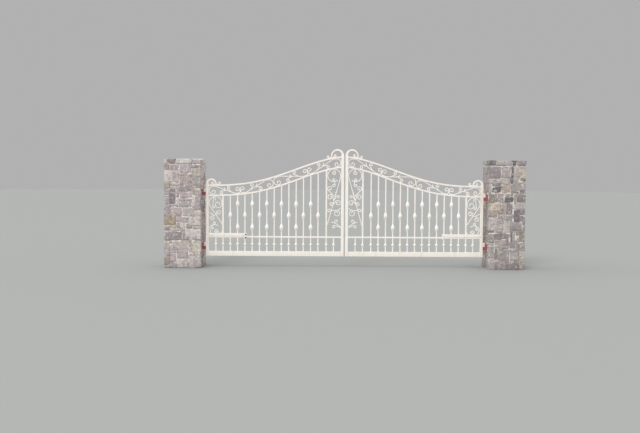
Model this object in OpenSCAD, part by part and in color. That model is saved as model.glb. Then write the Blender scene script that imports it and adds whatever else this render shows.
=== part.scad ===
// Double-leaf wrought iron driveway gate hung between two fieldstone pillars.
// Sizes are in millimetres. X runs along the closed gate, +Y is the side that the leaves open to
// and Z is up. The origin is the middle of the left pillar's base.
// Each leaf is drawn once, with x = 0 at its hinge stile's outer face, y = 0 in the middle of its
// thickness and z = 0 at the lowest ground. The right leaf is the left one's mirror image.

/* [Pillars] */
// Width of a square stone pillar
pillar_w = 630; // [500:1:800]
// Height of a pillar over the lowest ground, with its top course
pillar_h = 1865; // [1700:1:2300]
// Height of the flat top course
course_h = 100; // [50:1:120]
// How far the top course stands proud of the shaft
course_proud = 10; // [6:1:30]
// Distance of the gate's plane behind the pillars' front faces
gate_setback = 200; // [150:1:400]

/* [Opening] */
// Clear width between the two pillars
opening_w = 4877; // [4500:1:5400]
// Gap between a hinge stile and its pillar
hinge_gap = 60; // [60:1:80]
// Gap between the two meeting stiles
meeting_gap = 25; // [15:1:50]
// Height of the leaves' underside over the lowest ground
ground_gap = 197; // [120:1:220]

/* [Frame of a leaf] */
// Width of the square stiles
stile_w = 48; // [40:1:50]
// Height of the bottom rail
bottom_rail_h = 82; // [60:1:120]
// Thickness of the bottom rail
bottom_rail_t = 42; // [30:1:44]
// Height of the lower rail's middle over the ground
lower_rail_z = 526; // [480:1:540]
// Height of the lower rail and of the two curved rails
rail_h = 26; // [22:1:34]
// Thickness of those rails
rail_t = 30; // [24:1:36]
// Height of the top rail's middle at the hinge end
hinge_end_z = 1407; // [1380:1:1500]
// Rise of the curved rails from the hinge end to the meeting end
rise = 494; // [400:1:540]
// Distance between the middles of the top rail and the under rail
band_h = 172; // [160:1:200]
// Length of the stiffening bar on the lower rail
stiffener_l = 655; // [500:1:700]
// Height of the stiffening bar
stiffener_h = 50; // [40:1:70]
// Thickness of the stiffening bar
stiffener_t = 8; // [5:1:10]

/* [Bars] */
// Width of the hinge panel, from the stile's face to the inner vertical's middle
hinge_panel_w = 244; // [230:1:260]
// Width of the meeting panel, from the stile's face to the inner vertical's middle
meeting_panel_w = 252; // [230:1:260]
// Bays between the two inner verticals, an even number
bays = 14; // [12:2:16]
// Width of the last bay, beside the meeting panel, which is wider than the others
last_bay_w = 142; // [120:1:150]
// Width of the square balusters and pickets
bar_w = 20; // [16:1:22]
// Width of the square inner verticals
inner_w = 27; // [24:1:32]
// Height of a single knuckle's middle over the lower rail's middle
single_knuckle = 367; // [340:1:400]
// Heights of a pair of knuckles over the lower rail's middle
pair_knuckles = [163, 561]; // [150:1:570]
// Widest diameter of a knuckle
knuckle_d = 66; // [50:1:80]
// Height of a knuckle
knuckle_h = 126; // [80:1:140]
// Widest diameter of a picket's knob
knob_d = 48; // [36:1:60]
// Height of a picket's knob
knob_h = 42; // [30:1:60]

/* [Scrollwork] */
// Width of the scroll bar, seen from the front
scroll_w = 13; // [11:1:15]
// Depth of the scroll bar
scroll_t = 18; // [12:1:24]
// Diameter of the bead that ends a scroll
bead_d = 22; // [18:1:24]
// Outer width of the crook on a hinge stile
hinge_crook_w = 184; // [170:1:210]
// Outer width of the crook on a meeting stile
meeting_crook_w = 224; // [190:1:240]
// Width of a crook's tip
crook_tip_w = 22; // [18:1:30]
// Depth of a crook
crook_t = 30; // [20:1:36]

/* [Hinges] */
// Diameter of a hinge pin
pin_d = 18; // [12:1:20]
// Play between a pin and its barrel, on the radius
pin_play = 0.08; // [0.05:0.01:0.1]
// Outer diameter of a barrel and of the seat under it
barrel_d = 36; // [30:1:36]
// Height of a barrel
barrel_h = 67; // [50:1:80]
// Heights of the left barrels' lower ends over the ground
left_barrel_z = [366, 1292]; // [350:1:1300]
// Heights of the right barrels' lower ends over the ground
right_barrel_z = [375, 1223]; // [350:1:1300]
// How far a bracket's wall plate reaches from its pin's axis towards the road
plate_reach = 130; // [100:1:150]
// How far it reaches from the axis the other way
plate_back = 26; // [20:1:40]
// Height of a bracket's wall plate, from the underside of the seat block up
plate_h = 112; // [90:1:130]
// Thickness of a bracket's wall plate
plate_t = 7; // [5:1:8]
// Height of the block that a barrel sits on
seat_h = 55; // [25:1:70]
// Clearance between a turning stile and its brackets
swing_gap = 5; // [5:0.5:6]

/* [Fit] */
// Gap between pieces that are welded or painted together
seat = 0.3; // [0.2:0.1:0.5]
// How far a polygon may stray from the curve that it follows
chord_error = 0.35; // [0.2:0.05:0.6]

/* [Hidden] */

white_paint = "#ece6dc";
red_primer = "#8e3440";
fieldstone = "#9a8f86";

pillar_face_x = pillar_w / 2;
gate_y = gate_setback - pillar_w / 2;
leaf_w = (opening_w - 2 * hinge_gap - meeting_gap) / 2;
left_leaf_x = pillar_face_x + hinge_gap;
right_leaf_x = pillar_face_x + opening_w - hinge_gap;
right_pillar_x = pillar_w + opening_w;

// Distance of the pins' axis from the pillar's face
pin_offset = hinge_gap - swing_gap - barrel_d / 2;

// The leaf's inner faces, and the panels beside its stiles
inner_from = stile_w;
inner_to = leaf_w - stile_w;
span = inner_to - inner_from;
first_bar_x = inner_from + hinge_panel_w;
last_bar_x = inner_to - meeting_panel_w;
pitch = (last_bar_x - last_bay_w - first_bar_x) / (bays - 1);
hinge_panel_clear = hinge_panel_w - inner_w / 2;
meeting_panel_clear = meeting_panel_w - inner_w / 2;
lower_rail_top = lower_rail_z + rail_h / 2;
lower_rail_under = lower_rail_z - rail_h / 2;
bottom_rail_top = ground_gap + bottom_rail_h;

// Shape of the sweep: an uneven wave that starts level at the hinge stile and has run through so
// many degrees of its half turn at the meeting stile
wave_skew = 1.32;
wave_end = 165;
rail_steps = 72;

// Distances of the curved rails' edges from the middle line of the scroll band
rail_in = (band_h - rail_h) / 2;
rail_out = (band_h + rail_h) / 2;

$fn = 32;

function wave(x) = pow(max(0, x - inner_from) / span, wave_skew);
function mid_z(x) = hinge_end_z - band_h / 2 + rise * (1 - cos(wave_end * wave(x))) / (1 - cos(wave_end));
function mid_slope(x) = mid_z(x + 0.5) - mid_z(x - 0.5);
function stretch(x) = sqrt(1 + pow(mid_slope(x), 2));
function edge_z(x, off) = mid_z(x) + off * stretch(x);
function rail_x(i) = inner_from + span * i / rail_steps;

// Distance along the band's middle line against x
arc_table = [
    for (i = 0, u = 0; i <= rail_steps; u = u + stretch(rail_x(i + 0.5)) * span / rail_steps, i = i + 1)
        [u, rail_x(i)]
];
band_l = arc_table[rail_steps][0];

// Places a point of the straightened band, u along it and v across it, on the curved one
function bend(p) =
    let(x = lookup(p[0], arc_table), m = mid_slope(x), k = stretch(x))
    [x - p[1] * m / k, mid_z(x) + p[1] / k];
function same(p) = p;

// A scroll runs between circles, each [centre, radius], and straight between them. The radius is
// positive where the bar turns to the left. At the ends it winds in by the given turns, in degrees.
wind_hold = 0.5;
function left_of(h) = [-sin(h), cos(h)];
function heading(a, b) =
    let(d = b[0] - a[0])
    atan2(d[1], d[0]) - asin((b[1] - a[1]) / norm(d));
function on_circle(c, h, k = 1) = c[0] - c[1] * k * left_of(h);
function winding(f, tip) = f < wind_hold ? 1 : 1 - (1 - tip) * pow((f - wind_hold) / (1 - wind_hold), 1.5);
function arc_steps(r, turn) = max(1, ceil(abs(turn) / (2 * acos(1 - chord_error / max(2, abs(r))))));
function turn_between(h1, h2, r) =
    let(t = (h2 - h1) - 360 * floor((h2 - h1) / 360))
    r >= 0 ? t : t - 360;
function wound_end(c, h, turn, way, tip) =
    c[1] == 0 || turn == 0 ? [c[0] - c[1] * left_of(h)] :
    let(n = arc_steps(c[1], turn))
    [for (i = [0:n]) on_circle(c, h + way * sign(c[1]) * turn * i / n, winding(i / n, tip))];
function bend_points(c, h1, h2) =
    c[1] == 0 ? [c[0]] :
    let(t = turn_between(h1, h2, c[1]), n = arc_steps(c[1], t))
    [for (i = [0:n]) on_circle(c, h1 + t * i / n)];
function reversed(list) = [for (i = [len(list) - 1:-1:0]) list[i]];
function scroll_line(stops, start_turn, end_turn, tip) =
    let(last = len(stops) - 1, h = [for (i = [0:last - 1]) heading(stops[i], stops[i + 1])])
    concat(
        reversed(wound_end(stops[0], h[0], start_turn, -1, tip)),
        [for (i = [1:1:last - 1]) each bend_points(stops[i], h[i - 1], h[i])],
        wound_end(stops[last], h[last - 1], end_turn, 1, tip)
    );
function side_normal(line, i) =
    let(a = line[max(0, i - 1)], b = line[min(len(line) - 1, i + 1)], d = b - a)
    [-d[1], d[0]] / norm(d);
function ribbon(line, w1, w2) =
    let(n = len(line) - 1, half = [for (i = [0:n]) (w1 + (w2 - w1) * i / n) / 2])
    concat(
        [for (i = [0:n]) line[i] + half[i] * side_normal(line, i)],
        [for (i = [n:-1:0]) line[i] - half[i] * side_normal(line, i)]
    );

// One scroll with a bead at each end that winds in
module scroll(stops, start_turn, end_turn, place = function(p) same(p), tip = 0.3) {
    line = scroll_line(stops, start_turn, end_turn, tip);
    polygon([for (p = ribbon(line, scroll_w, scroll_w)) place(p)]);
    if (start_turn > 0) {
        translate(place(line[0])) circle(d = bead_d, $fn = 12);
    }
    if (end_turn > 0) {
        translate(place(line[len(line) - 1])) circle(d = bead_d, $fn = 12);
    }
}

// A forged leaf that springs from a scroll: a bar that swells and comes to a point. Its bulge to the
// side and its widths along it are shares of the scroll bar's width.
module leaf_tip(root, tip, bulge, place = function(p) same(p)) {
    side = [tip[1] - root[1], root[0] - tip[0]] / norm(tip - root);
    widths = [[0, 0.7], [0.3, 1.1], [0.7, 0.9], [1, 0.35]];
    spine = [for (w = widths) root + (tip - root) * w[0] + side * bulge * scroll_w * sin(180 * w[0])];
    polygon([
        for (i = [0:3]) place(spine[i] + side * scroll_w * widths[i][1] / 2),
        for (i = [3:-1:0]) place(spine[i] - side * scroll_w * widths[i][1] / 2)
    ]);
}

// Stands a flat outline up in the leaf's plane
module upright(t) {
    rotate([90, 0, 0])
        linear_extrude(height = t, center = true)
            children();
}

// Fills the narrow nooks where scroll bars meet, as a weld or a casting's fillet does
weld = 1.5;
weld_swell = 0.1;
module welded() {
    offset(delta = weld_swell - weld)
        offset(delta = weld)
            children();
}

module post_bar(x, z1, z2, w) {
    translate([x - w / 2, -w / 2, z1])
        cube([w, w, z2 - z1]);
}

// A square bar from a level seat up to the under rail, its top cut to the rail's slope
module cut_bar(x, z1, w) {
    upright(w)
        polygon([
            [x - w / 2, z1],
            [x + w / 2, z1],
            [x + w / 2, edge_z(x + w / 2, -rail_out) - seat],
            [x - w / 2, edge_z(x - w / 2, -rail_out) - seat]
        ]);
}

// A turned swelling on a square bar, with a flat collar at each end that hides the bar's corners
collar_share = 0.74;
module swelling(x, z, d, h, fullness) {
    collar_r = bar_w * collar_share;
    steps = 8;
    translate([x, 0, z])
        rotate_extrude()
            polygon([
                [0, -h / 2],
                for (i = [0:steps])
                    let(t = 2 * i / steps - 1)
                    [collar_r + (d / 2 - collar_r) * pow(cos(90 * t), fullness), t * h / 2],
                [0, h / 2]
            ]);
}

module curved_rail(from_off, to_off) {
    upright(rail_t)
        polygon([
            for (i = [0:rail_steps]) [rail_x(i), edge_z(rail_x(i), from_off)],
            for (i = [rail_steps:-1:0]) [rail_x(i), edge_z(rail_x(i), to_off)]
        ]);
}

// The clear space between the two curved rails
module band_space() {
    polygon([
        for (i = [0:rail_steps]) [rail_x(i), edge_z(rail_x(i), -rail_in) + seat],
        for (i = [rail_steps:-1:0]) [rail_x(i), edge_z(rail_x(i), rail_in) - seat]
    ]);
}

// The clear space of a panel beside a stile, under the under rail
module panel_space(x1, x2) {
    steps = 8;
    polygon([
        [x1 + seat, lower_rail_top + seat],
        [x2 - seat, lower_rail_top + seat],
        for (i = [steps:-1:0])
            let(x = x1 + (x2 - x1) * i / steps)
            [min(x2 - seat, max(x1 + seat, x)), edge_z(x, -rail_out) - 2 * seat]
    ]);
}

module pillar_shaft() {
    color(fieldstone)
        translate([-pillar_w / 2, -pillar_w / 2, 0])
            cube([pillar_w, pillar_w, pillar_h - course_h]);
}

module top_course() {
    half = pillar_w / 2 + course_proud;
    cut = course_proud;
    color(fieldstone)
        translate([0, 0, pillar_h - course_h])
            linear_extrude(height = course_h)
                polygon([
                    for (quarter = [0:3], p = [[half, cut - half], [half, half - cut]])
                        let(a = 90 * quarter)
                        [p[0] * cos(a) - p[1] * sin(a), p[0] * sin(a) + p[1] * cos(a)]
                ]);
}

// How far a pin and its bore reach up a barrel, as shares of its height
pin_share = 0.9;
bore_share = 0.95;

// A wall plate on the pillar's face that stands up behind the barrel, the round-ended block that the
// barrel sits on, and the pin
module hinge_bracket(z) {
    color(red_primer)
        translate([-hinge_gap, 0, z - seat]) {
            translate([0, -plate_reach, -seat_h])
                cube([plate_t, plate_reach + plate_back, plate_h]);
            translate([0, -barrel_d / 2, -seat_h])
                cube([pin_offset, barrel_d, seat_h]);
            translate([pin_offset, 0, -seat_h])
                cylinder(d = barrel_d, h = seat_h);
            translate([pin_offset, 0, -seat_h / 2])
                cylinder(d = pin_d, h = seat_h / 2 + barrel_h * pin_share);
        }
}

// The barrel that turns on a bracket's pin, with the lug that joins it to the hinge stile
module hinge_barrel(z) {
    lug_w = barrel_d * 0.6;
    lug_l = hinge_gap - pin_offset;
    difference() {
        union() {
            translate([-lug_l, 0, z])
                cylinder(d = barrel_d, h = barrel_h);
            translate([-lug_l, -lug_w / 2, z])
                cube([lug_l, lug_w, barrel_h]);
        }
        translate([-lug_l, 0, z - seat])
            cylinder(r = pin_d / 2 + pin_play, h = seat + barrel_h * bore_share);
    }
}

module hinge_barrels(heights) {
    color(white_paint)
        for (z = heights) {
            hinge_barrel(z);
        }
}

module hinge_stile() {
    color(white_paint)
        post_bar(stile_w / 2, ground_gap, edge_z(inner_from, rail_out), stile_w);
}

module meeting_stile() {
    color(white_paint)
        post_bar(leaf_w - stile_w / 2, ground_gap, edge_z(inner_to, rail_out), stile_w);
}

module bottom_rail() {
    color(white_paint)
        translate([inner_from, -bottom_rail_t / 2, ground_gap])
            cube([span, bottom_rail_t, bottom_rail_h]);
}

module lower_rail() {
    color(white_paint)
        translate([inner_from, -rail_t / 2, lower_rail_under])
            cube([span, rail_t, rail_h]);
}

// A flat bar on the road side of the balusters, standing on the lower rail
module stiffening_bar() {
    color(white_paint)
        translate([inner_from, -inner_w / 2 - seat - stiffener_t, lower_rail_top])
            cube([stiffener_l, stiffener_t, stiffener_h]);
}

module top_rail() {
    color(white_paint)
        curved_rail(rail_in, rail_out);
}

module under_rail() {
    color(white_paint)
        curved_rail(-rail_out, -rail_in);
}

module inner_verticals() {
    color(white_paint) {
        cut_bar(first_bar_x, lower_rail_top, inner_w);
        cut_bar(last_bar_x, lower_rail_top, inner_w);
    }
}

// How round a swelling is: over 1 it draws out to slender ends, under 1 it is a plump ball
knuckle_fullness = 1.8;
knob_fullness = 0.9;

// Balusters with one and with two knuckles in turn
module balusters() {
    color(white_paint)
        for (i = [1:bays - 1]) {
            x = first_bar_x + i * pitch;
            cut_bar(x, lower_rail_top, bar_w);
            heights = i % 2 == 1 ? [single_knuckle] : pair_knuckles;
            for (h = heights) {
                swelling(x, lower_rail_z + h, knuckle_d, knuckle_h, knuckle_fullness);
            }
        }
}

// Short pickets between the bottom rail and the lower rail, one under each bar and in each panel
module pickets() {
    places = concat(
        [inner_from + hinge_panel_w / 2],
        [for (i = [0:bays - 1]) first_bar_x + i * pitch],
        [last_bar_x, inner_to - meeting_panel_w / 2]
    );
    color(white_paint)
        for (x = places) {
            post_bar(x, bottom_rail_top, lower_rail_under, bar_w);
            swelling(x, (bottom_rail_top + lower_rail_under) / 2, knob_d, knob_h, knob_fullness);
        }
}

// Half of the band's motif, from u = 0 at its end to the foot of the pair of curls in its middle.
// The long scroll follows the band's end, where it hooks inwards, slants down to the under rail and
// rises from there to its curl. Two tendrils and a leaf spring from the slant. Radii are shares of
// the band's half height, and places along the slant are shares of its length.
module half_motif(u0, way, half_l) {
    edge = rail_in - seat - scroll_w / 2;
    big_r = edge * 0.98;
    hook_r = edge * 0.52;
    hook_shift = edge * 0.1;
    bend_r = edge * 0.82;
    bend_shift = edge * 0.18;
    foot_r = edge * 0.42;
    curl_r = edge * 0.5;
    curl_rise = edge * 1.02;
    small_r = edge * 0.4;
    slant_from = half_l * 0.235;
    slant_l = half_l * 0.6;
    end_u = big_r + scroll_w / 2;
    stem_u = half_l - scroll_w / 2;
    function put(p) = bend([u0 + way * p[0], p[1]]);
    function along(share) = slant_from + slant_l * share;
    function on_slant(share, drop) = [along(share), edge * (1 - 2 * share) - scroll_w * drop];
    place = function(p) put(p);
    scroll([
        [[end_u + hook_shift, hook_r - big_r], -hook_r],
        [[end_u, 0], -big_r],
        [[slant_from - bend_shift, edge - bend_r], -bend_r],
        [[slant_from + slant_l + bend_shift, bend_r - edge], bend_r],
        [[stem_u - foot_r, foot_r - edge], foot_r],
        [[stem_u - curl_r, curl_rise - edge], curl_r]
    ], 260, 290, place, tip = 0.4);
    scroll([[on_slant(0.5, 0.35), 0], [[along(0.29), small_r - edge], small_r]], 0, 310, place);
    scroll([[on_slant(0.82, 0.1), 0], [[along(0.68), edge - small_r], -small_r]], 0, 310, place);
    leaf_tip(on_slant(0.53, 0.2), [along(0.42), edge - scroll_w * 0.6], -0.6, place);
}

// The ends and the middles of the band's two motifs, as shares of the span
motif_shares = [0, 0.237, 0.489, 0.744, 1];
module band_scrolls() {
    along_x = [for (p = arc_table) [p[1], p[0]]];
    u = [for (share = motif_shares) lookup(inner_from + span * share, along_x)];
    color(white_paint)
        upright(scroll_t)
            intersection() {
                band_space();
                welded()
                    for (motif = [0, 2]) {
                        half_motif(u[motif], 1, u[motif + 1] - u[motif]);
                        half_motif(u[motif + 2], -1, u[motif + 2] - u[motif + 1]);
                    }
            }
}

// A panel's scrolls are given in shares of its clear width, across it from the stile and down
// from the under rail, over a drawn height that stretches to the panel's own. The stem climbs from
// the inner vertical and fills the panel's head. A tendril starts at a point, or on the stem's
// straight run, at a share of its length from its foot.
module panel_scrolls(x0, way, clear, top_z, drawn_h, stem, tendrils, leaves) {
    row = (top_z - lower_rail_top) / drawn_h;
    function spot(p) = [x0 + way * p[0] * clear, top_z - p[1] * row];
    function stop(c) = [spot(c[0]), way * c[1] * clear];
    foot = stop(stem[0][0]);
    head = stop(stem[0][1]);
    shoulder = on_circle(head, heading(foot, head));
    function start(c) = is_num(c) ? [foot[0] + (shoulder - foot[0]) * c, 0] : stop(c);
    for (s = concat([stem], tendrils)) {
        scroll([for (i = [0:len(s[0]) - 1]) i == 0 ? start(s[0][0]) : stop(s[0][i])], 0, s[1], tip = s[2]);
    }
    for (l = leaves) {
        leaf_tip(spot(l[0]), spot(l[1]), way * l[2]);
    }
}

module hinge_panel_scrolls() {
    head_z = edge_z(inner_from + hinge_panel_clear / 2, -rail_out);
    drawn_h = 2.916;
    stem = [[[[1.02, 2.07], 0], [[0.5, 0.5], -0.472], [[0.72, 0.62], -0.23]], 330, 0.3];
    tendrils = [
        [[[[0.38, 0.04], 0], [[0.385, 0.77], 0.1]], 230, 0.5],
        [[0.5, [[0.72, 1.22], -0.15]], 350, 0.3],
        [[0.53, [[0.27, 1.6], 0.15]], 350, 0.3],
        [[[[0.2, 2.95], 0], [[0.27, 2.35], -0.2], [[0.4, 1.97], 0.085]], 250, 0.5],
        [[[[0.352, 2.095], 0], [[0.27, 2.34], 0.085]], 260, 0.4],
        [[[[0.71, 2.95], 0], [[0.57, 2.58], 0.13]], 330, 0.3]
    ];
    leaves = [
        [[0.45, 0.06], [0.53, 0.36], 0.3],
        [[0.36, 1.4], [0.04, 1.22], 0.3],
        [[0.36, 2.07], [0.74, 2.18], -0.3],
        [[1.02, 2.5], [0.85, 2.78], -0.3]
    ];
    color(white_paint)
        upright(scroll_t)
            intersection() {
                panel_space(inner_from, inner_from + hinge_panel_clear);
                welded()
                    panel_scrolls(inner_from, 1, hinge_panel_clear, head_z, drawn_h, stem, tendrils, leaves);
            }
}

module meeting_panel_scrolls() {
    head_z = edge_z(inner_to - meeting_panel_clear / 2, -rail_out);
    drawn_h = 5.008;
    stem = [[[[1.02, 4.26], 0], [[0.5, 0.5], -0.472]], 316, 0.85];
    tendrils = [
        [[[[0.56, 0.03], 0], [[0.51, 0.28], 0.12]], 330, 0.4],
        [[[[0.47, 0.97], 0], [[0.54, 0.8], -0.08]], 240, 0.6],
        [[[[0.47, 0.97], 0], [[0.53, 1.2], 0.11]], 290, 0.4],
        [[0.61, [[0.82, 1.46], 0.15]], 330, 0.3],
        [[0.524, [[0.77, 2.07], -0.17]], 370, 0.3],
        [[0.554, [[0.21, 2.06], 0.09]], 250, 0.5],
        [[0.437, [[0.24, 2.5], 0.17]], 350, 0.3],
        [[0.39, [[0.69, 2.62], -0.12]], 300, 0.4],
        [[0.323, [[0.29, 3.27], 0.2]], 400, 0.3],
        [[0.276, [[0.84, 3.1], -0.12]], 300, 0.4],
        [[[[-0.02, 4.35], 0], [[0.33, 3.9], 0.12]], 240, 0.5],
        [[[[-0.02, 4.35], 0], [[0.49, 4.29], -0.1]], 240, 0.5]
    ];
    leaves = [
        [[0.38, 2.02], [0.39, 1.72], 0.25],
        [[0.25, 3.06], [0.02, 2.92], 0.25],
        [[0.29, 4.08], [0.73, 3.92], -0.3]
    ];
    color(white_paint)
        upright(scroll_t)
            intersection() {
                panel_space(inner_to - meeting_panel_clear, inner_to);
                welded()
                    panel_scrolls(inner_to, -1, meeting_panel_clear, head_z, drawn_h, stem, tendrils, leaves);
            }
}

// A stile's crook: it tapers round to its tip, which stands on a small double curl on the top rail.
// The taper is quick at first. The curl's sizes are shares of the tip's width.
crook_taper = 0.4;
curl_r = crook_tip_w * 0.9;
curl_reach = crook_tip_w * 2.6;
module crook(stile_x, way, outer_w) {
    r = outer_w / 2;
    foot_x = stile_x + way * (outer_w - crook_tip_w / 2);
    centre_x = stile_x + way * r;
    base_z = edge_z(stile_x + way * stile_w, rail_out);
    foot_z = edge_z(foot_x, rail_out);
    centre_z = max(base_z, foot_z) + crook_tip_w / 2;
    steps = 18;
    bar_z = scroll_w / 2 + seat;
    function width(i) = stile_w + (crook_tip_w - stile_w) * pow(i / steps, crook_taper);
    upright(crook_t)
        difference() {
            polygon([
                [stile_x, base_z],
                for (i = [0:steps])
                    let(a = 180 * i / steps)
                    [centre_x - way * r * cos(a), centre_z + r * sin(a)],
                [foot_x + way * crook_tip_w / 2, foot_z - rail_h],
                [foot_x - way * crook_tip_w / 2, foot_z - rail_h],
                for (i = [steps:-1:0])
                    let(a = 180 * i / steps)
                    [centre_x - way * (r - width(i)) * cos(a), centre_z + (r - width(i)) * sin(a)],
                [stile_x + way * stile_w, base_z]
            ]);
            rail_shadow(stile_x, way, outer_w, scroll_w + seat);
        }
    upright(scroll_t)
        difference() {
            scroll([
                [[foot_x - curl_reach, edge_z(foot_x - curl_reach, rail_out) + bar_z + curl_r], curl_r],
                [[foot_x + curl_reach, edge_z(foot_x + curl_reach, rail_out) + bar_z + curl_r], curl_r]
            ], 250, 250);
            rail_shadow(stile_x, way, outer_w, 0);
        }
}

// Everything below the top rail's upper edge, from a stile to past the crook's curls
module rail_shadow(stile_x, way, outer_w, lift) {
    steps = 12;
    from_x = stile_x + way * stile_w;
    step_x = way * (outer_w + curl_reach) / steps;
    polygon([
        for (i = [0:steps])
            let(x = from_x + i * step_x)
            [x, edge_z(x, rail_out) + seat + lift],
        [from_x + steps * step_x, edge_z(from_x, rail_out) - outer_w],
        [from_x, edge_z(from_x, rail_out) - outer_w]
    ]);
}

module crooks() {
    color(white_paint) {
        crook(0, 1, hinge_crook_w);
        crook(leaf_w, -1, meeting_crook_w);
    }
}

module left_leaf() {
    translate([left_leaf_x, gate_y, 0])
        children();
}

module right_leaf() {
    translate([right_leaf_x, gate_y, 0])
        mirror([1, 0, 0])
            children();
}

module at_right_pillar() {
    translate([right_pillar_x, 0, 0])
        children();
}

pillar_shaft();  // left_pillar
at_right_pillar() pillar_shaft();  // right_pillar
top_course();  // left_top_course
at_right_pillar() top_course();  // right_top_course
left_leaf() hinge_bracket(left_barrel_z[1]);  // left_upper_hinge_bracket
left_leaf() hinge_bracket(left_barrel_z[0]);  // left_lower_hinge_bracket
right_leaf() hinge_bracket(right_barrel_z[1]);  // right_upper_hinge_bracket
right_leaf() hinge_bracket(right_barrel_z[0]);  // right_lower_hinge_bracket
left_leaf() hinge_stile();  // left_hinge_stile
left_leaf() meeting_stile();  // left_meeting_stile
left_leaf() bottom_rail();  // left_bottom_rail
left_leaf() lower_rail();  // left_lower_rail
left_leaf() stiffening_bar();  // left_stiffening_bar
left_leaf() top_rail();  // left_top_rail
left_leaf() under_rail();  // left_under_rail
left_leaf() inner_verticals();  // left_inner_verticals
left_leaf() balusters();  // left_balusters
left_leaf() pickets();  // left_pickets
left_leaf() band_scrolls();  // left_band_scrolls
left_leaf() hinge_panel_scrolls();  // left_hinge_panel_scrolls
left_leaf() meeting_panel_scrolls();  // left_meeting_panel_scrolls
left_leaf() crooks();  // left_crooks
left_leaf() hinge_barrels(left_barrel_z);  // left_hinge_barrels
right_leaf() hinge_stile();  // right_hinge_stile
right_leaf() meeting_stile();  // right_meeting_stile
right_leaf() bottom_rail();  // right_bottom_rail
right_leaf() lower_rail();  // right_lower_rail
right_leaf() stiffening_bar();  // right_stiffening_bar
right_leaf() top_rail();  // right_top_rail
right_leaf() under_rail();  // right_under_rail
right_leaf() inner_verticals();  // right_inner_verticals
right_leaf() balusters();  // right_balusters
right_leaf() pickets();  // right_pickets
right_leaf() band_scrolls();  // right_band_scrolls
right_leaf() hinge_panel_scrolls();  // right_hinge_panel_scrolls
right_leaf() meeting_panel_scrolls();  // right_meeting_panel_scrolls
right_leaf() crooks();  // right_crooks
right_leaf() hinge_barrels(right_barrel_z);  // right_hinge_barrels
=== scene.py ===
import math
import random

import bmesh
import bpy
from mathutils import Matrix, Vector, noise


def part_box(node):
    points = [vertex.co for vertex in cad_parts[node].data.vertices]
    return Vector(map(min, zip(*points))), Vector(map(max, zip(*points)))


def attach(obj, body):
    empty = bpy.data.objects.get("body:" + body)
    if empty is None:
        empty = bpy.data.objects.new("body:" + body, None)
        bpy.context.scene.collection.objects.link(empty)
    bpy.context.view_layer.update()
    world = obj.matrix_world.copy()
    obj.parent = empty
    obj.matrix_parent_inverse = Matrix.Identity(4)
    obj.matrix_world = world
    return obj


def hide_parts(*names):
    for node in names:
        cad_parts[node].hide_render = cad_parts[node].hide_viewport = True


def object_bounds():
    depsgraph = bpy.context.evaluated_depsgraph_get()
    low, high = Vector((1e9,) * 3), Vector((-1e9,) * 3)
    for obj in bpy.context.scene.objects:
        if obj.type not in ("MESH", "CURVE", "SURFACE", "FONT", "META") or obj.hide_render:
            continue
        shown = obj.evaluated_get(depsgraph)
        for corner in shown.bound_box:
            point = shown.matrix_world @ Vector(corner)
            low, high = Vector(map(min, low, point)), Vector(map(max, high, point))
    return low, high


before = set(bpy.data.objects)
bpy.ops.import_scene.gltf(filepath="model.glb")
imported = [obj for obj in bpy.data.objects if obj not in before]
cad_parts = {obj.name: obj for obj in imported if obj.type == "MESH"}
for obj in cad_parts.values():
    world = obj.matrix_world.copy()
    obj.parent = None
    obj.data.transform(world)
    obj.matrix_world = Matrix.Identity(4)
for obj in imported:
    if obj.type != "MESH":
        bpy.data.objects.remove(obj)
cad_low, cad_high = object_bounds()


# Pillar shafts
# Each pillar is a square shaft of split fieldstone, laid as squared rubble round a mortared core.
# Corner stones run round the arrises, and the joints are filled with pale lime mortar.
class Field:
    """A number, colour or vector that varies over a surface, with arithmetic for the numbers."""

    def __init__(self, finish, socket):
        self.finish = finish
        self.socket = socket

    def math(self, operation, a, b):
        return self.finish.node("ShaderNodeMath", {"operation": operation}, {0: a, 1: b})

    def __add__(self, other):
        return self.math("ADD", self, other)

    def __sub__(self, other):
        return self.math("SUBTRACT", self, other)

    def __rsub__(self, other):
        return self.math("SUBTRACT", other, self)

    def __mul__(self, other):
        return self.math("MULTIPLY", self, other)

    __radd__ = __add__
    __rmul__ = __mul__

    def rising(self, low, high):
        """0 below low and 1 above high, with a smooth rise; low may be the larger."""
        ends = {"Value": self, "From Min": low, "From Max": high}
        return self.finish.node("ShaderNodeMapRange", {"interpolation_type": "SMOOTHSTEP"}, ends)


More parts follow.
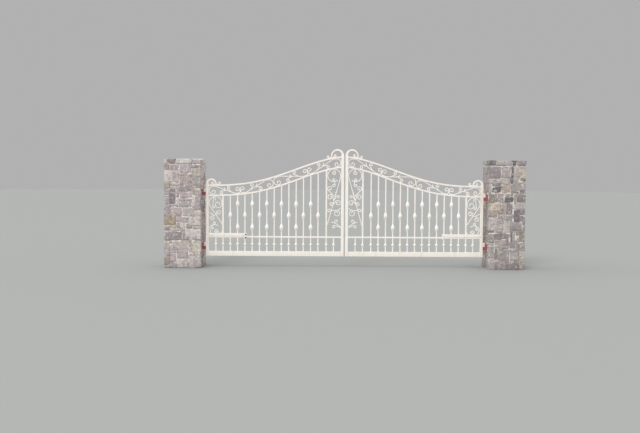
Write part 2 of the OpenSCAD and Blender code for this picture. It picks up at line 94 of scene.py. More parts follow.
class Finish:
    """One material, whose nodes all come from node()."""

    def __init__(self, name, roughness, metallic=0.0):
        self.material = bpy.data.materials.new(name)
        self.material.use_nodes = True
        self.tree = self.material.node_tree
        self.surface = self.tree.nodes["Principled BSDF"]
        self.surface.inputs["Roughness"].default_value = roughness
        self.surface.inputs["Metallic"].default_value = metallic
        self.place = self.node("ShaderNodeTexCoord", output="Object")

    def fill(self, socket, value):
        if isinstance(value, Field):
            self.tree.links.new(value.socket, socket)
        else:
            socket.default_value = value

    def node(self, kind, settings=None, inputs=None, output=0):
        made = self.tree.nodes.new(kind)
        for name, value in (settings or {}).items():
            setattr(made, name, value)
        for name, value in (inputs or {}).items():
            self.fill(made.inputs[name], value)
        return Field(self, made.outputs[output])

    def grain(self, scale, detail=2.0, roughness=0.5, at=None):
        """Noise of so many grains a metre."""
        inputs = {"Vector": at or self.place, "Scale": scale, "Detail": detail, "Roughness": roughness}
        return self.node("ShaderNodeTexNoise", None, inputs)

    def stretched(self, x, y, z):
        """The place, scaled along each axis."""
        inputs = {0: self.place, 1: (x, y, z)}
        return self.node("ShaderNodeVectorMath", {"operation": "MULTIPLY"}, inputs)

    def height(self):
        return self.node("ShaderNodeSeparateXYZ", None, {0: self.place}, "Z")

    def mix(self, share, a, b):
        return self.node("ShaderNodeMix", {"data_type": "RGBA"}, {0: share, 6: a, 7: b}, 2)

    def shade(self, colour, factor):
        """The colour made lighter or darker by a factor that varies."""
        grey = self.node("ShaderNodeCombineColor", None, {0: factor, 1: factor, 2: factor})
        settings = {"data_type": "RGBA", "blend_type": "MULTIPLY"}
        return self.node("ShaderNodeMix", settings, {0: 1.0, 6: colour, 7: grey}, 2)

    def relief(self, *layers):
        """Lays (height, depth in metres, strength) bumps over each other and feeds the normal."""
        normal = None
        for level, depth, strength in layers:
            inputs = {"Height": level, "Distance": depth, "Strength": strength}
            if normal:
                inputs["Normal"] = normal
            normal = self.node("ShaderNodeBump", None, inputs)
        self.fill(self.surface.inputs["Normal"], normal)

    def colour(self, value):
        self.fill(self.surface.inputs["Base Color"], value)

    def roughness(self, value):
        self.fill(self.surface.inputs["Roughness"], value)


def tone(red, green, blue):
    """A colour as it looks on a screen, 0 to 255, turned into the linear light that shaders use."""
    linear = [c / 255 / 12.92 if c < 11 else ((c / 255 + 0.055) / 1.055) ** 2.4 for c in (red, green, blue)]
    return (*linear, 1.0)


def add_piece(name, verts, faces, finish, body, slot, *nodes):
    """Makes a smooth-shaded piece that rides on a body and may stand for CAD nodes."""
    mesh = bpy.data.meshes.new(name)
    mesh.from_pydata(verts, [], faces)
    work = bmesh.new()
    work.from_mesh(mesh)
    bmesh.ops.recalc_face_normals(work, faces=work.faces)
    work.to_mesh(mesh)
    work.free()
    mesh.shade_smooth()
    mesh.materials.append(finish.material)
    piece = bpy.data.objects.new(name, mesh)
    bpy.context.scene.collection.objects.link(piece)
    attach(piece, body)
    if nodes:
        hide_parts(*nodes)
    return piece


def cut_lines(low, high, arris, step):
    """Grid lines across a stone, close together where its arrises are rounded."""
    clear = high - low - 2 * arris
    count = max(1, round(clear / step))
    middle = [low + arris + clear * i / count for i in range(count + 1)]
    rounding = arris * 0.4
    return [low, low + rounding, *middle, high - rounding, high]


def rough_block(low, high, arris, steps, shape, back_grid=False):
    """Points and faces of a block whose arrises are rounded and whose points shape() then moves."""
    lines = [cut_lines(*ends, arris, step) for *ends, step in zip(low, high, steps)]
    last = [len(line) - 1 for line in lines]
    numbers, verts, faces = {}, [], []

    def point(*key):
        if key not in numbers:
            raw = Vector(line[i] for line, i in zip(lines, key))
            core = Vector(min(max(c, a + arris), b - arris) for c, a, b in zip(raw, low, high))
            normal = (raw - core).normalized()
            numbers[key] = len(verts)
            verts.append(shape(core + normal * arris, normal))
        return numbers[key]

    for across, up, fixed in ((0, 2, 1), (1, 2, 0), (0, 1, 2)):
        for level in (0, last[fixed]):
            if fixed == 1 and level == 0 and not back_grid:
                continue
            for i in range(last[across]):
                for k in range(last[up]):
                    ring = []
                    for a, b in ((0, 0), (1, 0), (1, 1), (0, 1)):
                        key = [level, level, level]
                        key[across] = i + a
                        key[up] = k + b
                        ring.append(point(*key))
                    faces.append(ring)
    if not back_grid:
        rim = [(i, 0, 0) for i in range(last[0])]
        rim += [(last[0], 0, k) for k in range(last[2])]
        rim += [(i, 0, last[2]) for i in range(last[0], 0, -1)]
        rim += [(0, 0, k) for k in range(last[2], 0, -1)]
        faces.append([point(*key) for key in rim])
    return verts, faces


LONGEST_RUN = 6
STONE_HEIGHTS = (1, 2, 3, 4)
HEIGHT_SHARES = (2, 6, 7, 4)
STONE_WIDTHS = {1: (3, 5), 2: (2, 5), 3: (2, 5), 4: (1, 4), 5: (1, 4)}


def lay_stones(rng, rows, cells, placed):
    """Adds stones round the placed ones until the four faces are full; none ends at a corner."""
    around = 4 * cells
    stones = list(placed)
    taken = {((s[0] + w) % around, s[1] + h) for s in placed for w in range(s[2]) for h in range(s[3])}

    def free(at, row, wide, high):
        return all(((at + w) % around, row + h) not in taken for w in range(wide) for h in range(high))

    for row in range(rows):
        starts = [s for s in range(around) if free(s, row, 1, 1) and not free(s - 1, row, 1, 1)]
        start = starts[0] if starts else rng.choice([s for s in range(around) if s % cells])
        at = start
        while at < start + around:
            if not free(at, row, 1, 1):
                at += 1
                continue
            run = 1
            while run < LONGEST_RUN and at + run < start + around and free(at + run, row, 1, 1):
                run += 1
            high = min(rng.choices(STONE_HEIGHTS, HEIGHT_SHARES)[0], rows - row)
            if rows - row - high == 1:
                high += 1
            wanted = rng.randint(*STONE_WIDTHS[high])
            ends = [w for w in range(1, run + 1) if (at + w) % cells not in (0, 1, cells - 1)]
            wide = min(ends or [run], key=lambda w: abs(w - wanted) + (run - w == 1))
            while not free(at, row, wide, high):
                high -= 1
            taken.update(((at + w) % around, row + h) for w in range(wide) for h in range(high))
            stones.append((at % around, row, wide, high, None))
            at += wide
    return stones


def lime_mortar(name, pale, dark):
    """Mortar between two tones, the darker one partly painted shade in the recessed joints, sooty in
    streaks, pitted and damp near the ground.
    """
    mortar = Finish(name, 0.95)
    # The dark patches are partly the mortar's own tone and partly painted shade, standing for shadow in the
    # recessed joints.
    patches_and_joint_shade = mortar.mix(mortar.grain(15, 5, 0.64).rising(0.4, 0.56), dark, pale)
    soot = mortar.grain(2.2, 5, 0.6, mortar.stretched(3, 3, 0.6)).rising(0.5, 0.78) * 0.35
    pits = mortar.grain(60, 5, 0.7).rising(0.56, 0.7) * 0.3
    damp = mortar.height().rising(0.22, 0.0) * 0.4
    mortar.colour(mortar.mix(soot + damp + pits, patches_and_joint_shade, tone(98, 91, 86)))
    mortar.relief((mortar.grain(90, 5, 0.65), 0.004, 0.8), (mortar.grain(520, 2), 0.0012, 0.7))
    return mortar


# The right pillar's mortar is darker than the left's, partly its own tone and partly painted shade.
MORTARS = {
    "left": lime_mortar("lime_mortar_left", tone(228, 221, 215), tone(172, 165, 160)),
    "right": lime_mortar("lime_mortar_right", tone(220, 213, 207), tone(158, 151, 147)),
}

STONE_TONES = {
    "mauve grey": tone(186, 173, 176),
    "dove grey": tone(203, 194, 192),
    "mid grey": tone(172, 163, 163),
    "buff": tone(201, 192, 181),
    "tan": tone(188, 173, 161),
    "rose": tone(204, 189, 184),
    "slate": tone(140, 132, 136),
    "ochre": tone(194, 176, 155),
    "straw": tone(234, 218, 198),
}
USUAL_TONES = ("mauve grey", "dove grey", "mid grey", "buff", "tan", "rose", "slate")
USUAL_SHARES = (9, 10, 5, 3, 2, 4, 1)

stone = Finish("split_fieldstone", 0.86)
# Each stone's colour carries its pillar's brightness factor, which is partly painted light and shade.
stone_own_and_painted_light = stone.node("ShaderNodeAttribute", {"attribute_name": "stone_tone"}, output="Color")
stone_clouds = stone.grain(16, 6, 0.62)
stone_beds = stone.grain(7, 5, 0.6, stone.stretched(1, 1, 6))
stone_specks = stone.grain(420, 2)
stone_tone = stone.shade(stone_own_and_painted_light, stone_clouds * 1.0 + stone_beds * 0.7 + 0.17)
stone_patches = stone.grain(30, 5, 0.68).rising(0.5, 0.64) * 0.55
stone_tone = stone.mix(stone_patches, stone_tone, tone(108, 102, 104))
stone_tone = stone.mix(stone_specks.rising(0.6, 0.72) * 0.35, stone_tone, tone(84, 78, 78))
stone_rust = stone.grain(5, 6, 0.66).rising(0.56, 0.72) * 0.3
stone_tone = stone.mix(stone_rust, stone_tone, tone(190, 158, 122))
stone_lichen = stone.grain(24, 4, 0.7).rising(0.55, 0.66) * 0.6
stone_tone = stone.mix(stone_lichen, stone_tone, tone(222, 218, 208))
stone_soot = stone.grain(2.2, 5, 0.6, stone.stretched(3, 3, 0.6)).rising(0.52, 0.8) * 0.4
stone_damp = stone.height().rising(0.2, 0.0) * 0.3
stone.colour(stone.mix(stone_soot + stone_damp, stone_tone, tone(88, 82, 78)))
stone.roughness(stone_clouds * 0.2 + 0.75)
stone_pits = stone.grain(120, 5, 0.7)
stone.relief((stone_clouds, 0.012, 0.7), (stone_pits, 0.003, 0.8), (stone_specks, 0.0008, 0.5))

CELLS = 12
JOINT = 0.01
ARRIS = 0.009
STONE_STEP = 0.021
MORTAR_STEP = 0.02
STONE_BACK = 0.0035
MORTAR_BACK = 0.0135
STONE_DEPTH = 0.9
HIDDEN_STEP = 0.045
SKEW = 0.011
SLOPE = 0.006
WOBBLE = 0.008
CREEP = 0.009
CREEP_UPRIGHT = 1.3
CREEP_FADE = 0.06
PROUDEST = 0.002
GROUND_CLEAR = 0.001
PLATE_H = 0.112
PLATE_CLEAR = 0.001
BEDDING = 0.03
BEDDING_DIP = 0.013
BEDDING_BACK = 0.0008

# Vector noise starts from the clock unless it is seeded.
NOISE_SEED = 7
noise.seed_set(NOISE_SEED)


def creep(p, half, top):
    """A slow drift of the courses, the same for neighbouring stones, that fades at the shaft's ends."""
    ends = min(1.0, p.z / CREEP_FADE, (top - p.z) / CREEP_FADE)
    drift = noise.noise_vector(p * 3.1)
    sideways = [drift[i] * CREEP * (1 - min(1.0, abs(p[i]) / half) ** 8) for i in (0, 1)]
    return p + Vector((*sideways, drift.z * CREEP * max(0.0, ends) * CREEP_UPRIGHT))


def split_face(p, seed):
    """How far a split stone's face stands out or falls back at a point."""
    q = p + seed
    near, second = noise.voronoi(q * 13)[0][:2]
    swell = 0.0035 * noise.noise(q * 8)
    chips = 0.0032 * (min(1.0, (second - near) * 2.2) - 0.55)
    grit = 0.0016 * noise.noise(q * 47)
    return swell + chips + grit


def paint_stones(piece, tones):
    """Gives each point its stone's colour, with the brightness factor that is partly painted light and
    shade.
    """
    own = piece.data.attributes.new("stone_tone", "FLOAT_COLOR", "POINT")
    for point, value in zip(own.data, tones):
        point.color = value


def stone_colour(rng, light, name=None):
    base = STONE_TONES[name or rng.choices(USUAL_TONES, USUAL_SHARES)[0]]
    # The factor passed in is partly painted light and shade: the right pillar is set darker as painted
    # shade besides its own darker stones. The random factor is the stones' own tone.
    light = light * rng.uniform(0.75, 1.17)
    return tuple(c * light for c in base[:3]) + (1.0,)


def bracket_plates(side):
    """The lowest and highest corner of each wall plate that is bolted to a pillar."""
    for level in ("upper", "lower"):
        low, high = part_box(f"{side}_{level}_hinge_bracket")
        yield low, Vector((high.x, high.y, low.z + PLATE_H))


def build_shaft(side, seed, light, placed):
    """One shaft; placed gives stones as (cell from the left, row, cells wide, rows high, tone)."""
    rng = random.Random(seed)
    low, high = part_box(f"{side}_pillar")
    middle = Vector(((low.x + high.x) / 2, (low.y + high.y) / 2, 0))
    half = (high.x - low.x) / 2
    cell = 2 * half / CELLS
    rows = round(high.z / cell)
    row_h = high.z / rows
    plates = list(bracket_plates(side))

    def held_back(p):
        """Keeps a point of the masonry behind the wall plates, and near the shaft's own faces."""
        near = [min(max(c, -half - PROUDEST), half + PROUDEST) for c in p.xy]
        p = Vector((*near, max(p.z, GROUND_CLEAR))) + middle
        for plate_low, plate_high in plates:
            beside = plate_low.y - BEDDING < p.y < plate_high.y + BEDDING
            if beside and plate_low.z - BEDDING < p.z < plate_high.z + BEDDING:
                if side == "left":
                    p.x = min(p.x, high.x - PLATE_CLEAR)
                else:
                    p.x = max(p.x, low.x + PLATE_CLEAR)
        return p

    verts, faces, tones = [], [], []
    for first, row, wide, tall, name in lay_stones(rng, rows, CELLS, placed):
        face, start = divmod(first % (4 * CELLS), CELLS)
        past = max(0, start + wide - CELLS)
        own_seed = Vector(rng.uniform(-50, 50) for _ in range(3))
        gap = JOINT / 2 + rng.uniform(-0.0015, 0.0025)
        t0 = start * cell - half + gap
        t1 = half - STONE_BACK if past else (start + wide) * cell - half - gap
        n1 = half - STONE_BACK - rng.uniform(0, 0.002)
        n0 = half - past * cell + gap if past else half - cell * STONE_DEPTH
        z0 = row * row_h + gap if row else GROUND_CLEAR
        z1 = (row + tall) * row_h - gap
        turn = Matrix.Rotation(math.radians(90 * face), 3, "Z")
        skew = [rng.uniform(-SKEW, SKEW) for _ in range(4)]
        slope = [rng.uniform(-SLOPE, SLOPE) for _ in range(2)]
        ruggedness = rng.uniform(0.5, 1.15)

        def shape(p, normal):
            u, v = (p.x - t0) / (t1 - t0), (p.z - z0) / (z1 - z0)
            lean = Vector((skew[0] * v + skew[1] * (1 - v), 0, skew[2] * u + skew[3] * (1 - u)))
            wobble = noise.noise_vector(p * 15 + own_seed) * WOBBLE
            lean += Vector((wobble.x, 0, wobble.z * min(1.0, z0 / 0.01)))
            if past:
                lean.x = 0
            out = split_face(p, own_seed) * ruggedness + slope[0] * (u - 0.5) + slope[1] * (v - 0.5)
            p = p + lean + normal * out
            return held_back(creep(turn @ Vector((p.x, -p.y, p.z)), half, high.z))

        depth_step = STONE_STEP if past else HIDDEN_STEP
        steps = (STONE_STEP, depth_step, STONE_STEP)
        block, rings = rough_block((t0, n0, z0), (t1, n1, z1), ARRIS, steps, shape)
        faces += [[len(verts) + i for i in ring] for ring in rings]
        verts += block
        tones += [stone_colour(rng, light, name)] * len(block)
    node = f"{side}_pillar"
    paint_stones(add_piece(f"{node}_stones", verts, faces, stone, "pillars", "fieldstone", node), tones)

    def bed(p, normal):
        waver = noise.noise(p * 8) * 0.004 + noise.noise(p * 21) * 0.0022 + noise.noise(p * 70) * 0.0012
        p = p + normal * waver + middle
        return Vector((p.x, p.y, max(p.z, GROUND_CLEAR)))

    reach = half - MORTAR_BACK
    ends = (-reach, -reach, GROUND_CLEAR), (reach, reach, high.z + 0.004)
    core = rough_block(*ends, 0.006, (MORTAR_STEP,) * 3, bed, True)
    add_piece(f"{node}_mortar", *core, MORTARS[side], "pillars", "fieldstone")

    verts, faces = [], []
    for plate_low, plate_high in plates:
        near = Vector((-BEDDING, plate_low.y - BEDDING, plate_low.z - BEDDING))
        far = Vector((-BEDDING_BACK, plate_high.y + BEDDING, plate_high.z + BEDDING))

        def smeared(p, normal):
            rim = min(p.y - near.y, far.y - p.y, p.z - near.z, far.z - p.z) / BEDDING
            dip = BEDDING_DIP * (1 - min(1.0, max(0.0, rim + noise.noise(p * 30) * 0.25))) ** 2
            out = p.x - 0.0012 * abs(noise.noise(p * 55)) - dip
            edge = noise.noise_vector(p * 25) * 0.008
            x = high.x + out if side == "left" else low.x - out
            return Vector((x, p.y + edge.y, p.z + edge.z))

        pad, rings = rough_block(near, far, 0.003, (0.01, 0.009, 0.009), smeared, True)
        faces += [[len(verts) + i for i in ring] for ring in rings]
        verts += pad
    add_piece(f"{side}_plate_bedding", verts, faces, MORTARS[side], "pillars", "fieldstone")


LEFT_STONES = [
    (9, 30, 5, 3, "buff"),
    (9, 27, 5, 3, "dove grey"),
    (-2, 28, 5, 4, "dove grey"),
    (3, 28, 2, 4, "rose"),
    (5, 28, 4, 3, "rose"),
    (2, 21, 2, 5, "slate"),
    (-2, 24, 4, 2, "mauve grey"),
    (5, 23, 4, 2, "mauve grey"),
    (5, 20, 4, 2, "mid grey"),
    (4, 15, 4, 2, "mid grey"),
    (-2, 14, 6, 3, "ochre"),
    (-1, 13, 5, 1, "tan"),
    (8, 14, 6, 3, "dove grey"),
    (1, 9, 5, 3, "mid grey"),
    (7, 10, 7, 3, "dove grey"),
    (3, 6, 5, 3, "rose"),
    (9, 5, 5, 4, "buff"),
]
RIGHT_STONES = [
    (-1, 30, 5, 4, "mauve grey"),
    (4, 30, 3, 4, "dove grey"),
    (7, 30, 1, 4, "slate"),
    (10, 30, 4, 3, "straw"),
    (2, 28, 5, 2, "dove grey"),
    (8, 26, 3, 3, "dove grey"),
    (1, 25, 3, 2, "slate"),
    (4, 25, 3, 3, "rose"),
    (5, 22, 3, 2, "slate"),
    (9, 22, 4, 2, "mid grey"),
    (-1, 19, 5, 3, "straw"),
    (8, 20, 3, 2, "dove grey"),
    (-1, 17, 4, 2, "rose"),
    (8, 16, 2, 4, "slate"),
    (-1, 13, 4, 4, "dove grey"),
    (7, 13, 4, 3, "dove grey"),
    (2, 8, 4, 2, "rose"),
]
# The right pillar's stones are darker than the left's, partly their own tone and partly painted shade.
build_shaft("left", 11, 0.91, LEFT_STONES)
build_shaft("right", 24, 0.68, RIGHT_STONES)


# Top courses
# Flat rough stones finish each pillar, nearly flush with the shaft and bedded in mortar. There is no
# coping over them, so their weathered and uneven tops show from above.
SLAB_LIPS = (0.002, 0.008)
SLAB_DROPS = (0.002, 0.02)
SLAB_BED = 0.009
SLAB_TILT = 0.006
SLAB_ARRIS = 0.014
SLAB_CLEAR = 0.001
MORTAR_INSET = 0.026
MORTAR_DROP = 0.034


def build_top_course(side, seed, light, plan):
    """plan gives the rows of slabs, front to back: share of the depth, then (share of the width, tone)."""
    rng = random.Random(seed)
    low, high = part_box(f"{side}_top_course")
    width, depth = high.x - low.x, high.y - low.y
    verts, faces, tones = [], [], []
    y = low.y
    for share, parts in plan:
        x = low.x
        for part, name in parts:
            own_seed = Vector(rng.uniform(-50, 50) for _ in range(3))
            lip = [rng.uniform(*SLAB_LIPS) for _ in range(4)]
            gap = JOINT / 2
            near = (
                x + (lip[0] if x == low.x else gap),
                y + (lip[1] if y == low.y else gap),
                low.z + SLAB_BED,
            )
            far = (
                x + part * width - (lip[2] if x + part * width > high.x - 0.01 else gap),
                y + share * depth - (lip[3] if y + share * depth > high.y - 0.01 else gap),
                high.z - rng.uniform(*SLAB_DROPS),
            )
            tilt = Vector((rng.uniform(-1, 1), rng.uniform(-1, 1))) * SLAB_TILT
            centre = (Vector(near) + Vector(far)) / 2

            def shape(p, normal):
                edge = noise.noise_vector(p * 11 + own_seed) * 0.005
                edge.z = tilt.x * (p.x - centre.x) + tilt.y * (p.y - centre.y)
                moved = p + edge + normal * (split_face(p, own_seed) * 1.3 - 0.003)
                ends = zip(moved, low, high)
                return Vector(min(max(c, a + SLAB_CLEAR), b - SLAB_CLEAR) for c, a, b in ends)

            block, rings = rough_block(near, far, SLAB_ARRIS, (STONE_STEP,) * 3, shape, True)
            faces += [[len(verts) + i for i in ring] for ring in rings]
            verts += block
            tones += [stone_colour(rng, light, name)] * len(block)
            x += part * width
        y += share * depth
    node = f"{side}_top_course"
    paint_stones(add_piece(f"{node}_stones", verts, faces, stone, "pillars", "fieldstone", node), tones)

    def bed(p, normal):
        return p + normal * (noise.noise(p * 25) * 0.003 + noise.noise(p * 80) * 0.001)

    inset = Vector((MORTAR_INSET, MORTAR_INSET, 0.0))
    near, far = low + inset, high - inset - Vector((0, 0, MORTAR_DROP))
    core = rough_block(near, far, 0.006, (MORTAR_STEP,) * 3, bed, True)
    add_piece(f"{node}_mortar", *core, MORTARS[side], "pillars", "fieldstone")


LEFT_SLABS = [
    (0.46, ((0.12, "mid grey"), (0.2, "slate"), (0.44, "dove grey"), (0.24, "mauve grey"))),
    (0.54, ((0.4, "dove grey"), (0.6, "rose"))),
]
RIGHT_SLABS = [
    (0.42, ((0.2, "mid grey"), (0.42, "dove grey"), (0.12, "slate"), (0.26, "dove grey"))),
    (0.58, ((0.55, "dove grey"), (0.45, "mauve grey"))),
]
# The left top course is set paler than its shaft, partly its own tone and partly painted light, as on a top
# lit from above. The right one is darker, partly its own tone and partly painted shade.
build_top_course("left", 5, 1.18, LEFT_SLABS)
build_top_course("right", 9, 0.63, RIGHT_SLABS)


# Hinge brackets
# Each bracket is a steel wall plate with a round-ended seat block and an upright pin, welded up and
# brushed with red primer. Four masonry bolts hold the plate, clear of where the stile swings.
def eased_copy(node, width, pierced):
    """Points and faces of a node with its arrises eased, as filing and paint leave them."""
    work = bmesh.new()
    work.from_mesh(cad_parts[node].data)
    bmesh.ops.remove_doubles(work, verts=work.verts, dist=1e-5)
    if not pierced:
        bmesh.ops.dissolve_limit(work, angle_limit=math.radians(0.05), verts=work.verts, edges=work.edges)
    sharp = math.radians(50)
    edges = [e for e in work.edges if len(e.link_faces) == 2 and e.calc_face_angle() > sharp]
    bmesh.ops.bevel(work, geom=edges, offset=width, segments=2, profile=0.5, affect="EDGES")
    bmesh.ops.remove_doubles(work, verts=work.verts, dist=1e-5)
    verts = [v.co.copy() for v in work.verts]
    faces = [[v.index for v in f.verts] for f in work.faces]
    work.free()
    return verts, faces


def flatten(piece):
    """Shades flat faces as flat and the rounded arrises between them as round."""
    piece.data.set_sharp_from_angle(angle=math.radians(50))
    normals = piece.modifiers.new("face_normals", "WEIGHTED_NORMAL")
    normals.keep_sharp = True
    return piece


def ease_node(node, width, finish, body, slot, pierced=False):
    """Replaces a node by its eased copy; pierced keeps the facets of a flat face that has holes."""
    return flatten(add_piece(f"{node}_iron", *eased_copy(node, width, pierced), finish, body, slot, node))


primer = Finish("red_primer", 0.62)
primer_worn = primer.grain(38, 6, 0.7).rising(0.6, 0.72)
primer_tone = primer.mix(primer.grain(9, 4), tone(150, 76, 87), tone(172, 104, 112))
primer_chalk = primer.grain(55, 6, 0.7, primer.stretched(1, 1, 0.4)).rising(0.5, 0.75) * 0.3
primer_tone = primer.mix(primer_chalk, primer_tone, tone(186, 140, 140))
primer.colour(primer.mix(primer_worn * 0.7, primer_tone, tone(104, 66, 52)))
primer.roughness(primer_worn * 0.25 + 0.55)
primer.relief((primer.grain(70, 4, 0.6), 0.0012, 0.6), (primer_worn, 0.0008, 0.5))


def add_bolt(verts, faces, seat, outward, head_r, head_h):
    """Adds a hexagonal bolt head on a round washer, standing on seat."""
    up = Vector((0, 0, 1))
    side = outward.cross(up)
    sides = 24
    rings = (
        (head_r * 1.5, 0.0, False),
        (head_r * 1.5, 0.0022, False),
        (head_r * 1.4, 0.0028, False),
        (head_r, 0.0028, True),
        (head_r, head_h * 0.85, True),
        (head_r * 0.84, head_h, False),
    )
    first = len(verts)
    for radius, out, hexagonal in rings:
        for i in range(sides):
            a = 2 * math.pi * i / sides
            flat = math.cos(math.pi / 6) / math.cos(a % (math.pi / 3) - math.pi / 6)
            r = radius * flat if hexagonal else radius
            verts.append(seat + (side * math.cos(a) + up * math.sin(a)) * r + outward * out)
    for k in range(len(rings) - 1):
        for i in range(sides):
            a, b = first + k * sides + i, first + k * sides + (i + 1) % sides
            faces.append([a, b, b + sides, a + sides])
    faces.append([first + i for i in range(sides - 1, -1, -1)])
    faces.append([first + (len(rings) - 1) * sides + i for i in range(sides)])


PLATE_T = 0.007
BOLT_EDGE = 0.02
BOLT_PITCH = 0.068
BOLT_HEAD_R = 0.009
BOLT_HEAD_H = 0.0095
for side, way in (("left", 1), ("right", -1)):
    for level in ("upper", "lower"):
        ease_node(f"{side}_{level}_hinge_bracket", 0.0015, primer, "pillars", "red_primer")
    verts, faces = [], []
    for plate_low, plate_high in bracket_plates(side):
        face_x = plate_low.x + PLATE_T if way > 0 else plate_high.x - PLATE_T
        for y in (plate_low.y + BOLT_EDGE, plate_low.y + BOLT_EDGE + BOLT_PITCH):
            for z in (plate_low.z + BOLT_EDGE, plate_high.z - BOLT_EDGE):
                seat = Vector((face_x, y, z))
                add_bolt(verts, faces, seat, Vector((way, 0, 0)), BOLT_HEAD_R, BOLT_HEAD_H)
    flatten(add_piece(f"{side}_bracket_bolts", verts, faces, primer, "pillars", "red_primer"))


# Leaf frames
# Each leaf's stiles are square tube, its bottom rail a deep channel and its lower rail flat bar,
# welded at the corners, ground smooth and brushed with off-white gloss that is now chalky.
SIDES = ("left", "right")
WET_LEVELS = [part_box("left_bottom_rail")[1].z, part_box("left_lower_rail")[1].z]


def white_gloss(name, hammer):
    """Off-white gloss over primed iron; hammer is the depth of the forged dents under it."""
    gloss = Finish(name, 0.42)
    clouds = gloss.grain(4, 5, 0.6)
    layer = gloss.mix(clouds, tone(247, 241, 234), tone(238, 231, 222))
    runs = gloss.grain(26, 4, 0.6, gloss.stretched(1, 1, 0.1)).rising(0.52, 0.8) * 0.35
    layer = gloss.mix(runs, layer, tone(202, 190, 168))
    grime = gloss.grain(11, 6, 0.7).rising(0.5, 0.75) * 0.22
    height = gloss.height()
    splash = height.rising(0.3, 0.19) * 0.12
    layer = gloss.mix(grime + splash, layer, tone(176, 164, 146))
    flakes = gloss.grain(33, 7, 0.72)
    chips = flakes.rising(0.7, 0.715)
    ragged = gloss.grain(48, 6, 0.72)
    for level in WET_LEVELS:
        wet = height.rising(level + 0.03, level + 0.002) * height.rising(level - 0.004, level - 0.001)
        chips = chips + wet * ragged.rising(0.57, 0.62) * 0.8
    halo = flakes.rising(0.64, 0.7) * 0.3
    layer = gloss.mix(halo, layer, tone(206, 178, 140))
    rust = gloss.mix(gloss.grain(140, 4, 0.7), tone(104, 60, 38), tone(160, 100, 60))
    gloss.colour(gloss.mix(chips, layer, rust))
    gloss.roughness(clouds * 0.2 + chips * 0.4 + 0.3)
    brushed = gloss.grain(160, 3, 0.5, gloss.stretched(1, 1, 0.3))
    gloss.relief((gloss.grain(34, 3, 0.55), hammer, 0.7), (brushed, 0.0005, 0.6), (1 - chips, 0.0006, 0.8))
    return gloss


bar_gloss = white_gloss("white_gloss_on_bar", 0.0006)
for side in SIDES:
    for part in ("hinge_stile", "meeting_stile", "bottom_rail", "lower_rail"):
        ease_node(f"{side}_{part}", 0.0025, bar_gloss, f"{side}_leaf", "white_paint")


# Swept rails
# The top rail and the under rail are flat bars bent on edge to one sweep, with the scroll band
# between them, and butt against the stiles' inner faces.
for side in SIDES:
    for part in ("top_rail", "under_rail"):
        ease_node(f"{side}_{part}", 0.0022, bar_gloss, f"{side}_leaf", "white_paint")


# Inner verticals, balusters and pickets
# Square bars stand between the rails. Balusters carry cast knuckles, one and two in turn, and the
# short pickets under them a knob each. Every bar is welded all round at its foot and head.
def bars_of(node):
    """The points of each separate bar of a node."""
    work = bmesh.new()
    work.from_mesh(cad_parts[node].data)
    bmesh.ops.remove_doubles(work, verts=work.verts, dist=1e-5)
    seen = set()
    for seed in work.verts:
        if seed in seen:
            continue
        seen.add(seed)
        bar, edge = [], [seed]
        while edge:
            v = edge.pop()
            bar.append(v.co.copy())
            for e in v.link_edges:
                other = e.other_vert(v)
                if other not in seen:
                    seen.add(other)
                    edge.append(other)
        yield bar
    work.free()


def end_corners(points, axis, way):
    """The four corners of a bar's end face that looks along an axis, in order round it."""
    tip = max(p[axis] * way for p in points)
    across = [i for i in range(3) if i != axis]
    near = [p for p in points if p[axis] * way > tip - 0.02]
    spans = [(min(p[i] for p in near), max(p[i] for p in near)) for i in across]
    corners = []
    for a, b in ((0, 0), (1, 0), (1, 1), (0, 1)):
        want = (spans[0][a], spans[1][b])

        def miss(p):
            return sum(abs(p[i] - w) for i, w in zip(across, want)) - way * p[axis] * 0.1

        corners.append(min(near, key=miss))
    return corners


BEAD_PITCH = 0.004
BAR_BEAD = 0.0024
RAIL_BEAD = 0.003


def add_weld(verts, faces, corners, away, rng, radius):
    """Adds a rippled weld bead round a bar's end, in the angle between the bar and its seat."""
    centre = sum(corners, Vector()) / 4
    path = []
    for a, b in zip(corners, corners[1:] + corners[:1]):
        steps = max(2, round((b - a).length / BEAD_PITCH))
        for i in range(steps):
            p = a.lerp(b, i / steps)
            path.append(p + ((p - centre).normalized() + away) * radius * 0.35)
    first, ring = len(verts), 6
    for i, p in enumerate(path):
        tangent = (path[(i + 1) % len(path)] - path[i - 1]).normalized()
        side = tangent.cross(away).normalized()
        r = radius * (0.85 + 0.25 * (i % 2) + rng.uniform(-0.12, 0.2))
        for k in range(ring):
            a = 2 * math.pi * k / ring
            verts.append(p + (side * math.cos(a) + away * math.sin(a)) * r)
    for i in range(len(path)):
        here, there = first + i * ring, first + (i + 1) % len(path) * ring
        for k in range(ring):
            beside = (k + 1) % ring
            faces.append([here + k, here + beside, there + beside, there + k])


weld_rng = random.Random(3)
for side in SIDES:
    for part, width in (("inner_verticals", 0.002), ("balusters", 0.0018), ("pickets", 0.0018)):
        ease_node(f"{side}_{part}", width, bar_gloss, f"{side}_leaf", "white_paint")
    verts, faces = [], []
    for part in ("inner_verticals", "balusters", "pickets"):
        for bar in bars_of(f"{side}_{part}"):
            for way in (-1, 1):
                corners = end_corners(bar, 2, way)
                add_weld(verts, faces, corners, Vector((0, 0, -way)), weld_rng, BAR_BEAD)
    for part in ("bottom_rail", "lower_rail", "top_rail", "under_rail"):
        for bar in bars_of(f"{side}_{part}"):
            for way in (-1, 1):
                corners = end_corners(bar, 0, way)
                add_weld(verts, faces, corners, Vector((-way, 0, 0)), weld_rng, RAIL_BEAD)
    add_piece(f"{side}_welds", verts, faces, bar_gloss, f"{side}_leaf", "white_paint")


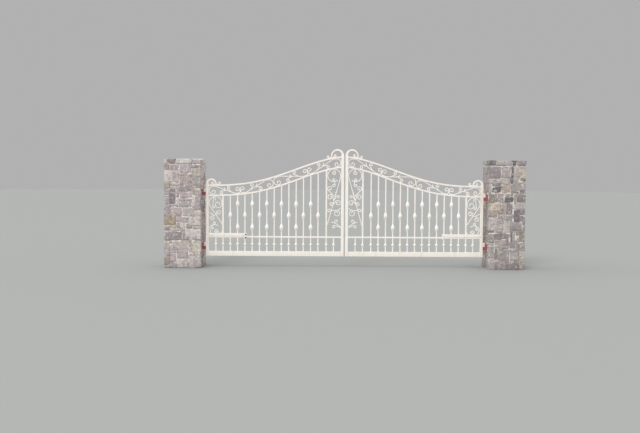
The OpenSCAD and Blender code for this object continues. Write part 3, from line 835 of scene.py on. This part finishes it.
# Scrollwork and crooks
# Scrolls are forged from square bar, wound over a former to a bead at each end, and welded between
# the rails. The crooks that finish the stiles are drawn down hot to their tips.
forged_gloss = white_gloss("white_gloss_on_forging", 0.0018)
for side in SIDES:
    for part in ("band_scrolls", "hinge_panel_scrolls", "meeting_panel_scrolls"):
        ease_node(f"{side}_{part}", 0.002, forged_gloss, f"{side}_leaf", "white_paint", True)
    ease_node(f"{side}_crooks", 0.003, forged_gloss, f"{side}_leaf", "white_paint", True)


# Stiffening bar
# A flat bar on the road side ties the first balusters to the hinge stile. A clip strap with two
# bolts holds its free end to the lower rail; on the left leaf their paint is gone.
bolt_steel = Finish("rusted_bolt_steel", 0.6, 0.5)
bolt_grain = bolt_steel.grain(220, 5, 0.7)
bolt_steel.colour(bolt_steel.mix(bolt_grain, tone(52, 44, 40), tone(104, 70, 50)))
bolt_steel.relief((bolt_grain, 0.0008, 0.8))

STRAP_W = 0.03
STRAP_T = 0.003
STRAP_INSET = 0.004
STRAP_DROP = 0.042
STRAP_GAP = 0.0002
CLIP_BOLT_R = 0.0085
CLIP_BOLT_H = 0.008
CLIP_BOLT_UPPER = 0.018
CLIP_BOLT_LOWER = 0.014
for side, way in (("left", 1), ("right", -1)):
    ease_node(f"{side}_stiffening_bar", 0.0015, bar_gloss, f"{side}_leaf", "white_paint")
    bar_low, bar_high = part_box(f"{side}_stiffening_bar")
    end = bar_high.x - STRAP_INSET if way > 0 else bar_low.x + STRAP_INSET
    strap_low = Vector((min(end, end - way * STRAP_W), bar_low.y - STRAP_T, bar_low.z - STRAP_DROP))
    strap_top = bar_high.z - STRAP_INSET
    strap_high = Vector((max(end, end - way * STRAP_W), bar_low.y - STRAP_GAP, strap_top))

    def beaten(p, normal):
        return p + normal * noise.noise(p * 60) * 0.0004

    strap = rough_block(strap_low, strap_high, 0.0008, (0.006,) * 3, beaten, True)
    flatten(add_piece(f"{side}_clip_strap", *strap, bar_gloss, f"{side}_leaf", "white_paint"))
    verts, faces = [], []
    for z in (strap_high.z - CLIP_BOLT_UPPER, strap_low.z + CLIP_BOLT_LOWER):
        seat = Vector(((strap_low.x + strap_high.x) / 2, strap_low.y, z))
        add_bolt(verts, faces, seat, Vector((0, -1, 0)), CLIP_BOLT_R, CLIP_BOLT_H)
    if side == "left":
        bolts = add_piece("left_clip_bolts", verts, faces, bolt_steel, "left_leaf", "red_primer")
    else:
        bolts = add_piece("right_clip_bolts", verts, faces, bar_gloss, "right_leaf", "white_paint")
    flatten(bolts)


# Hinge barrels
# A bored barrel on a lug is welded to each hinge stile at two heights, and drops over its pin.
for side in SIDES:
    ease_node(f"{side}_hinge_barrels", 0.0012, bar_gloss, f"{side}_leaf", "white_paint")


# View
# A plain pale floor, a soft high lamp from the front with a weaker one from the left, and a camera
# where the photograph's stood, at eye height on the drive.
FLOOR_REACH = 60
FLOOR_DROP = 0.0005
floor_mesh = bpy.data.meshes.new("floor")
floor_work = bmesh.new()
bmesh.ops.create_circle(floor_work, cap_ends=True, radius=FLOOR_REACH, segments=96)
floor_work.to_mesh(floor_mesh)
floor_work.free()
floor = bpy.data.objects.new("floor", floor_mesh)
floor.location = ((cad_low.x + cad_high.x) / 2, 0, -FLOOR_DROP)
bpy.context.scene.collection.objects.link(floor)
pale = Finish("pale_floor", 0.9)
pale.colour(tone(156, 158, 156))
floor_mesh.materials.append(pale.material)


class Sky(Finish):
    """An even light on every surface, seen directly or in a mirror as a calmer grey."""

    def __init__(self, name, light, seen):
        self.world = bpy.data.worlds.new(name)
        self.world.use_nodes = True
        self.tree = self.world.node_tree
        looks = self.looking("Is Camera Ray") + self.looking("Is Glossy Ray")
        looks = (looks + self.looking("Is Transmission Ray")).rising(0.0, 1.0)
        backdrop = self.tree.nodes["Background"]
        self.fill(backdrop.inputs["Strength"], looks * (seen - light) + light)
        backdrop.inputs["Color"].default_value = (1.0, 1.0, 1.0, 1.0)

    def looking(self, kind):
        return self.node("ShaderNodeLightPath", output=kind)


SKY_LIGHT = 1.0
SKY_SEEN = 0.44
bpy.context.scene.world = Sky("studio", SKY_LIGHT, SKY_SEEN).world


def add_lamp(name, energy, angle, shines_to):
    """A lamp far away, whose shadows are as soft as the angle that it fills is wide."""
    lamp_data = bpy.data.lights.new(name, "SUN")
    lamp_data.energy = energy
    lamp_data.angle = math.radians(angle)
    lamp = bpy.data.objects.new(name, lamp_data)
    lamp.rotation_euler = Vector(shines_to).to_track_quat("-Z", "Y").to_euler()
    bpy.context.scene.collection.objects.link(lamp)


add_lamp("soft_lamp", 1.25, 25, (0.35, 0.85, -0.8))
add_lamp("side_lamp", 0.7, 60, (1.0, 0.0, -0.45))

camera_data = bpy.data.cameras.new("camera")
camera_data.lens = 50.5
camera_data.shift_x = -0.0205
camera = bpy.data.objects.new("camera", camera_data)
camera.location = (2.5535, -15.5175, 1.69)
camera.rotation_euler = (math.radians(87.0), math.radians(-0.33), 0)
bpy.context.scene.collection.objects.link(camera)
bpy.context.scene.camera = camera
bpy.context.scene.view_settings.view_transform = "Standard"
